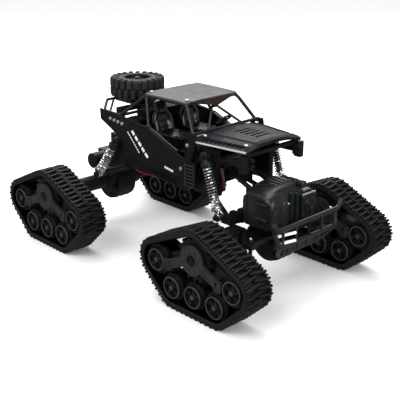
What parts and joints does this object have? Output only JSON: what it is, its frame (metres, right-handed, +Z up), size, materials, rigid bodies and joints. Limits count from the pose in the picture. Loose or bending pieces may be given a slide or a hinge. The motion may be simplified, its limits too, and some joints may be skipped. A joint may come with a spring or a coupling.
{
  "type": "radio-controlled crawler with track units",
  "caption": "Radio-controlled crawler car with an open caged body, sprung link-hung axles, steering front axle and triangular rubber track units in place of wheels.",
  "frame": {"origin": "ground level, midway between the axles and the sides", "axes": "+X to the front bumper, +Y to the car's left, +Z up"},
  "size_m": [0.3223, 0.183, 0.1545],
  "materials": {
    "track_frame_plastic": "moulded, satin",
    "belt_rubber": "moulded, dusty satin",
    "wheel_plastic": "moulded, satin",
    "sprocket_plastic": "moulded, satin",
    "chassis_plastic": "moulded, fine grain",
    "side_panel_paint": "satin black",
    "roof_paint": "satin silver-grey",
    "hood_paint": "satin dark metallic",
    "cage_plastic": "moulded, satin",
    "interior_plastic": "moulded, glossy",
    "box_plastic": "moulded",
    "spare_tyre": "moulded rubber",
    "screw_steel": "bright zinc",
    "link_plastic": "moulded, satin",
    "shock_body_plastic": "moulded, glossy",
    "shock_rod_steel": "polished",
    "spring_chrome": "polished",
    "axle_plastic": "moulded, satin",
    "gearbox_plastic": "moulded, satin",
    "bumper_plastic": "moulded, satin",
    "knuckle_plastic": "moulded, satin",
    "lamp_white": "moulded white",
    "stripe_white": "printed stripe",
    "wire_red": "soft insulation",
    "wire_green": "soft insulation"
  },
  "bodies": {
    "chassis": {"chassis_frame": "chassis_plastic", "side_panels": "side_panel_paint", "roof_panel": "roof_paint", "roll_cage": "cage_plastic", "hood_panel": "hood_paint", "cabin_interior": "interior_plastic", "electronics_box": "box_plastic", "spare_wheel": "spare_tyre", "body_screws": "screw_steel"},
    "front_lower_links": {"front_lower_links": "link_plastic"},
    "front_upper_links": {"front_upper_links": "link_plastic"},
    "front_truss": {"front_truss": "link_plastic"},
    "front_shock_bodies": {"front_shock_bodies": "shock_body_plastic", "front_springs": "spring_chrome"},
    "front_shock_rods": {"front_shock_rods": "shock_rod_steel"},
    "rear_lower_links": {"rear_lower_links": "link_plastic"},
    "rear_upper_links": {"rear_upper_links": "link_plastic"},
    "rear_truss": {"rear_truss": "link_plastic"},
    "rear_shock_bodies": {"rear_shock_bodies": "shock_body_plastic", "rear_springs": "spring_chrome"},
    "rear_shock_rods": {"rear_shock_rods": "shock_rod_steel"},
    "front_axle": {"front_axle_housing": "axle_plastic", "front_gearbox": "gearbox_plastic", "front_bumper": "bumper_plastic"},
    "rear_axle": {"rear_axle_housing": "axle_plastic"},
    "tie_rod": {"tie_rod": "knuckle_plastic"},
    "knuckle_right": {"knuckle_right": "knuckle_plastic"},
    "knuckle_left": {"knuckle_left": "knuckle_plastic"},
    "front_right_track": {"front_right_frame": "track_frame_plastic", "front_right_belt": "belt_rubber"},
    "front_right_sprocket": {"front_right_sprocket": "sprocket_plastic"},
    "front_right_idler_front": {"front_right_idler_front": "wheel_plastic"},
    "front_right_idler_rear": {"front_right_idler_rear": "wheel_plastic"},
    "front_right_road_front": {"front_right_road_front": "wheel_plastic"},
    "front_right_road_mid": {"front_right_road_mid": "wheel_plastic"},
    "front_right_road_rear": {"front_right_road_rear": "wheel_plastic"},
    "front_left_track": {"front_left_frame": "track_frame_plastic", "front_left_belt": "belt_rubber"},
    "front_left_sprocket": {"front_left_sprocket": "sprocket_plastic"},
    "front_left_idler_front": {"front_left_idler_front": "wheel_plastic"},
    "front_left_idler_rear": {"front_left_idler_rear": "wheel_plastic"},
    "front_left_road_front": {"front_left_road_front": "wheel_plastic"},
    "front_left_road_mid": {"front_left_road_mid": "wheel_plastic"},
    "front_left_road_rear": {"front_left_road_rear": "wheel_plastic"},
    "rear_right_track": {"rear_right_frame": "track_frame_plastic", "rear_right_belt": "belt_rubber"},
    "rear_right_sprocket": {"rear_right_sprocket": "sprocket_plastic"},
    "rear_right_idler_front": {"rear_right_idler_front": "wheel_plastic"},
    "rear_right_idler_rear": {"rear_right_idler_rear": "wheel_plastic"},
    "rear_right_road_front": {"rear_right_road_front": "wheel_plastic"},
    "rear_right_road_mid": {"rear_right_road_mid": "wheel_plastic"},
    "rear_right_road_rear": {"rear_right_road_rear": "wheel_plastic"},
    "rear_left_track": {"rear_left_frame": "track_frame_plastic", "rear_left_belt": "belt_rubber"},
    "rear_left_sprocket": {"rear_left_sprocket": "sprocket_plastic"},
    "rear_left_idler_front": {"rear_left_idler_front": "wheel_plastic"},
    "rear_left_idler_rear": {"rear_left_idler_rear": "wheel_plastic"},
    "rear_left_road_front": {"rear_left_road_front": "wheel_plastic"},
    "rear_left_road_mid": {"rear_left_road_mid": "wheel_plastic"},
    "rear_left_road_rear": {"rear_left_road_rear": "wheel_plastic"}
  },
  "joints": [
    {"name": "front_suspension", "type": "hinge", "parent": "chassis", "child": "front_lower_links", "pos_m": [0.05, 0, 0.078], "axis": [0, -1, 0], "range_deg": [-10, 7], "stiffness_Nm_per_rad": 1.5, "springref_deg": -1.72},
    {"name": "front_upper_link_pivot", "type": "hinge", "parent": "chassis", "child": "front_upper_links", "pos_m": [0.058, 0, 0.098], "axis": [0, -1, 0], "range_deg": [-10.5, 7.5]},
    {"name": "front_truss_pivot", "type": "hinge", "parent": "front_lower_links", "child": "front_truss", "pos_m": [0.084, 0, 0.064], "axis": [0, -1, 0], "range_deg": [-7.5, 10.5]},
    {"name": "front_axle_roll", "type": "hinge", "parent": "front_truss", "child": "front_axle", "pos_m": [0.1, 0, 0.066], "axis": [1, 0, 0], "range_deg": [-8, 8], "stiffness_Nm_per_rad": 1.5},
    {"name": "front_shock_swing", "type": "hinge", "parent": "chassis", "child": "front_shock_bodies", "pos_m": [0.064, 0, 0.114], "axis": [0, -1, 0], "range_deg": [-5.25, 3.83]},
    {"name": "front_shock_stroke", "type": "slide", "parent": "front_shock_bodies", "child": "front_shock_rods", "axis": [0.3162, 0, -0.9487], "range_m": [-0.0037, 0.00516], "deforming": ["front_springs"]},
    {"name": "rear_suspension", "type": "hinge", "parent": "chassis", "child": "rear_lower_links", "pos_m": [-0.05, 0, 0.078], "axis": [0, 1, 0], "range_deg": [-10, 7], "stiffness_Nm_per_rad": 1.5, "springref_deg": -1.72},
    {"name": "rear_upper_link_pivot", "type": "hinge", "parent": "chassis", "child": "rear_upper_links", "pos_m": [-0.058, 0, 0.098], "axis": [0, 1, 0], "range_deg": [-10.5, 7.5]},
    {"name": "rear_truss_pivot", "type": "hinge", "parent": "rear_lower_links", "child": "rear_truss", "pos_m": [-0.084, 0, 0.064], "axis": [0, 1, 0], "range_deg": [-7.5, 10.5]},
    {"name": "rear_axle_roll", "type": "hinge", "parent": "rear_truss", "child": "rear_axle", "pos_m": [-0.1, 0, 0.066], "axis": [1, 0, 0], "range_deg": [-8, 8], "stiffness_Nm_per_rad": 1.5},
    {"name": "rear_shock_swing", "type": "hinge", "parent": "chassis", "child": "rear_shock_bodies", "pos_m": [-0.051, 0, 0.103], "axis": [0, 1, 0], "range_deg": [-7.31, 5.26]},
    {"name": "rear_shock_stroke", "type": "slide", "parent": "rear_shock_bodies", "child": "rear_shock_rods", "axis": [-0.6169, 0, -0.7871], "range_m": [-0.00251, 0.00346], "deforming": ["rear_springs"]},
    {"name": "steering", "type": "hinge", "parent": "front_axle", "child": "knuckle_right", "pos_m": [0.1, -0.05, 0.0493], "axis": [0, 0, 1], "range_deg": [-20, 20]},
    {"name": "steering_left", "type": "hinge", "parent": "front_axle", "child": "knuckle_left", "pos_m": [0.1, 0.05, 0.0493], "axis": [0, 0, 1], "range_deg": [-21, 21]},
    {"name": "tie_rod_slide", "type": "slide", "parent": "front_axle", "child": "tie_rod", "axis": [0, 1, 0], "range_m": [-0.009, 0.009]},
    {"name": "front_right_track_pitch", "type": "hinge", "parent": "knuckle_right", "child": "front_right_track", "pos_m": [0.1, -0.078, 0.0493], "axis": [0, 1, 0], "range_deg": [-15, 15]},
    {"name": "front_right_drive", "type": "hinge", "parent": "front_right_track", "child": "front_right_sprocket", "pos_m": [0.1, -0.078, 0.0493], "axis": [0, 1, 0], "continuous": true},
    {"name": "front_right_idler_front_spin", "type": "hinge", "parent": "front_right_track", "child": "front_right_idler_front", "pos_m": [0.142, -0.078, 0.0366], "axis": [0, 1, 0], "continuous": true},
    {"name": "front_right_idler_rear_spin", "type": "hinge", "parent": "front_right_track", "child": "front_right_idler_rear", "pos_m": [0.058, -0.078, 0.0366], "axis": [0, 1, 0], "continuous": true},
    {"name": "front_right_road_front_spin", "type": "hinge", "parent": "front_right_track", "child": "front_right_road_front", "pos_m": [0.124, -0.078, 0.0177], "axis": [0, 1, 0], "continuous": true},
    {"name": "front_right_road_mid_spin", "type": "hinge", "parent": "front_right_track", "child": "front_right_road_mid", "pos_m": [0.1, -0.078, 0.0177], "axis": [0, 1, 0], "continuous": true},
    {"name": "front_right_road_rear_spin", "type": "hinge", "parent": "front_right_track", "child": "front_right_road_rear", "pos_m": [0.076, -0.078, 0.0177], "axis": [0, 1, 0], "continuous": true},
    {"name": "front_left_track_pitch", "type": "hinge", "parent": "knuckle_left", "child": "front_left_track", "pos_m": [0.1, 0.078, 0.0493], "axis": [0, 1, 0], "range_deg": [-15, 15]},
    {"name": "front_left_drive", "type": "hinge", "parent": "front_left_track", "child": "front_left_sprocket", "pos_m": [0.1, 0.078, 0.0493], "axis": [0, 1, 0], "continuous": true},
    {"name": "front_left_idler_front_spin", "type": "hinge", "parent": "front_left_track", "child": "front_left_idler_front", "pos_m": [0.142, 0.078, 0.0366], "axis": [0, 1, 0], "continuous": true},
    {"name": "front_left_idler_rear_spin", "type": "hinge", "parent": "front_left_track", "child": "front_left_idler_rear", "pos_m": [0.058, 0.078, 0.0366], "axis": [0, 1, 0], "continuous": true},
    {"name": "front_left_road_front_spin", "type": "hinge", "parent": "front_left_track", "child": "front_left_road_front", "pos_m": [0.124, 0.078, 0.0177], "axis": [0, 1, 0], "continuous": true},
    {"name": "front_left_road_mid_spin", "type": "hinge", "parent": "front_left_track", "child": "front_left_road_mid", "pos_m": [0.1, 0.078, 0.0177], "axis": [0, 1, 0], "continuous": true},
    {"name": "front_left_road_rear_spin", "type": "hinge", "parent": "front_left_track", "child": "front_left_road_rear", "pos_m": [0.076, 0.078, 0.0177], "axis": [0, 1, 0], "continuous": true},
    {"name": "rear_right_track_pitch", "type": "hinge", "parent": "rear_axle", "child": "rear_right_track", "pos_m": [-0.1, -0.078, 0.0493], "axis": [0, 1, 0], "range_deg": [-15, 15]},
    {"name": "rear_right_drive", "type": "hinge", "parent": "rear_right_track", "child": "rear_right_sprocket", "pos_m": [-0.1, -0.078, 0.0493], "axis": [0, 1, 0], "continuous": true},
    {"name": "rear_right_idler_front_spin", "type": "hinge", "parent": "rear_right_track", "child": "rear_right_idler_front", "pos_m": [-0.058, -0.078, 0.0366], "axis": [0, 1, 0], "continuous": true},
    {"name": "rear_right_idler_rear_spin", "type": "hinge", "parent": "rear_right_track", "child": "rear_right_idler_rear", "pos_m": [-0.142, -0.078, 0.0366], "axis": [0, 1, 0], "continuous": true},
    {"name": "rear_right_road_front_spin", "type": "hinge", "parent": "rear_right_track", "child": "rear_right_road_front", "pos_m": [-0.076, -0.078, 0.0177], "axis": [0, 1, 0], "continuous": true},
    {"name": "rear_right_road_mid_spin", "type": "hinge", "parent": "rear_right_track", "child": "rear_right_road_mid", "pos_m": [-0.1, -0.078, 0.0177], "axis": [0, 1, 0], "continuous": true},
    {"name": "rear_right_road_rear_spin", "type": "hinge", "parent": "rear_right_track", "child": "rear_right_road_rear", "pos_m": [-0.124, -0.078, 0.0177], "axis": [0, 1, 0], "continuous": true},
    {"name": "rear_left_track_pitch", "type": "hinge", "parent": "rear_axle", "child": "rear_left_track", "pos_m": [-0.1, 0.078, 0.0493], "axis": [0, 1, 0], "range_deg": [-15, 15]},
    {"name": "rear_left_drive", "type": "hinge", "parent": "rear_left_track", "child": "rear_left_sprocket", "pos_m": [-0.1, 0.078, 0.0493], "axis": [0, 1, 0], "continuous": true},
    {"name": "rear_left_idler_front_spin", "type": "hinge", "parent": "rear_left_track", "child": "rear_left_idler_front", "pos_m": [-0.058, 0.078, 0.0366], "axis": [0, 1, 0], "continuous": true},
    {"name": "rear_left_idler_rear_spin", "type": "hinge", "parent": "rear_left_track", "child": "rear_left_idler_rear", "pos_m": [-0.142, 0.078, 0.0366], "axis": [0, 1, 0], "continuous": true},
    {"name": "rear_left_road_front_spin", "type": "hinge", "parent": "rear_left_track", "child": "rear_left_road_front", "pos_m": [-0.076, 0.078, 0.0177], "axis": [0, 1, 0], "continuous": true},
    {"name": "rear_left_road_mid_spin", "type": "hinge", "parent": "rear_left_track", "child": "rear_left_road_mid", "pos_m": [-0.1, 0.078, 0.0177], "axis": [0, 1, 0], "continuous": true},
    {"name": "rear_left_road_rear_spin", "type": "hinge", "parent": "rear_left_track", "child": "rear_left_road_rear", "pos_m": [-0.124, 0.078, 0.0177], "axis": [0, 1, 0], "continuous": true}
  ],
  "couplings": [
    {"joint": "front_upper_link_pivot", "follows": "front_suspension", "ratio": 1},
    {"joint": "front_truss_pivot", "follows": "front_suspension", "ratio": -1},
    {"joint": "front_shock_swing", "follows": "front_suspension", "ratio": 0.475},
    {"joint": "front_shock_stroke", "follows": "front_suspension", "m_per_rad": -0.027828},
    {"joint": "rear_upper_link_pivot", "follows": "rear_suspension", "ratio": 1},
    {"joint": "rear_truss_pivot", "follows": "rear_suspension", "ratio": -1},
    {"joint": "rear_shock_swing", "follows": "rear_suspension", "ratio": 0.68054},
    {"joint": "rear_shock_stroke", "follows": "rear_suspension", "m_per_rad": -0.018124},
    {"joint": "steering_left", "follows": "steering", "ratio": 1},
    {"joint": "tie_rod_slide", "follows": "steering", "m_per_rad": 0.024},
    {"joint": "front_right_idler_front_spin", "follows": "front_right_drive", "ratio": 1.4519},
    {"joint": "front_right_idler_rear_spin", "follows": "front_right_drive", "ratio": 1.4519},
    {"joint": "front_right_road_front_spin", "follows": "front_right_drive", "ratio": 1.6333},
    {"joint": "front_right_road_mid_spin", "follows": "front_right_drive", "ratio": 1.6333},
    {"joint": "front_right_road_rear_spin", "follows": "front_right_drive", "ratio": 1.6333},
    {"joint": "front_left_idler_front_spin", "follows": "front_left_drive", "ratio": 1.4519},
    {"joint": "front_left_idler_rear_spin", "follows": "front_left_drive", "ratio": 1.4519},
    {"joint": "front_left_road_front_spin", "follows": "front_left_drive", "ratio": 1.6333},
    {"joint": "front_left_road_mid_spin", "follows": "front_left_drive", "ratio": 1.6333},
    {"joint": "front_left_road_rear_spin", "follows": "front_left_drive", "ratio": 1.6333},
    {"joint": "rear_right_idler_front_spin", "follows": "rear_right_drive", "ratio": 1.4519},
    {"joint": "rear_right_idler_rear_spin", "follows": "rear_right_drive", "ratio": 1.4519},
    {"joint": "rear_right_road_front_spin", "follows": "rear_right_drive", "ratio": 1.6333},
    {"joint": "rear_right_road_mid_spin", "follows": "rear_right_drive", "ratio": 1.6333},
    {"joint": "rear_right_road_rear_spin", "follows": "rear_right_drive", "ratio": 1.6333},
    {"joint": "rear_left_idler_front_spin", "follows": "rear_left_drive", "ratio": 1.4519},
    {"joint": "rear_left_idler_rear_spin", "follows": "rear_left_drive", "ratio": 1.4519},
    {"joint": "rear_left_road_front_spin", "follows": "rear_left_drive", "ratio": 1.6333},
    {"joint": "rear_left_road_mid_spin", "follows": "rear_left_drive", "ratio": 1.6333},
    {"joint": "rear_left_road_rear_spin", "follows": "rear_left_drive", "ratio": 1.6333}
  ]
}
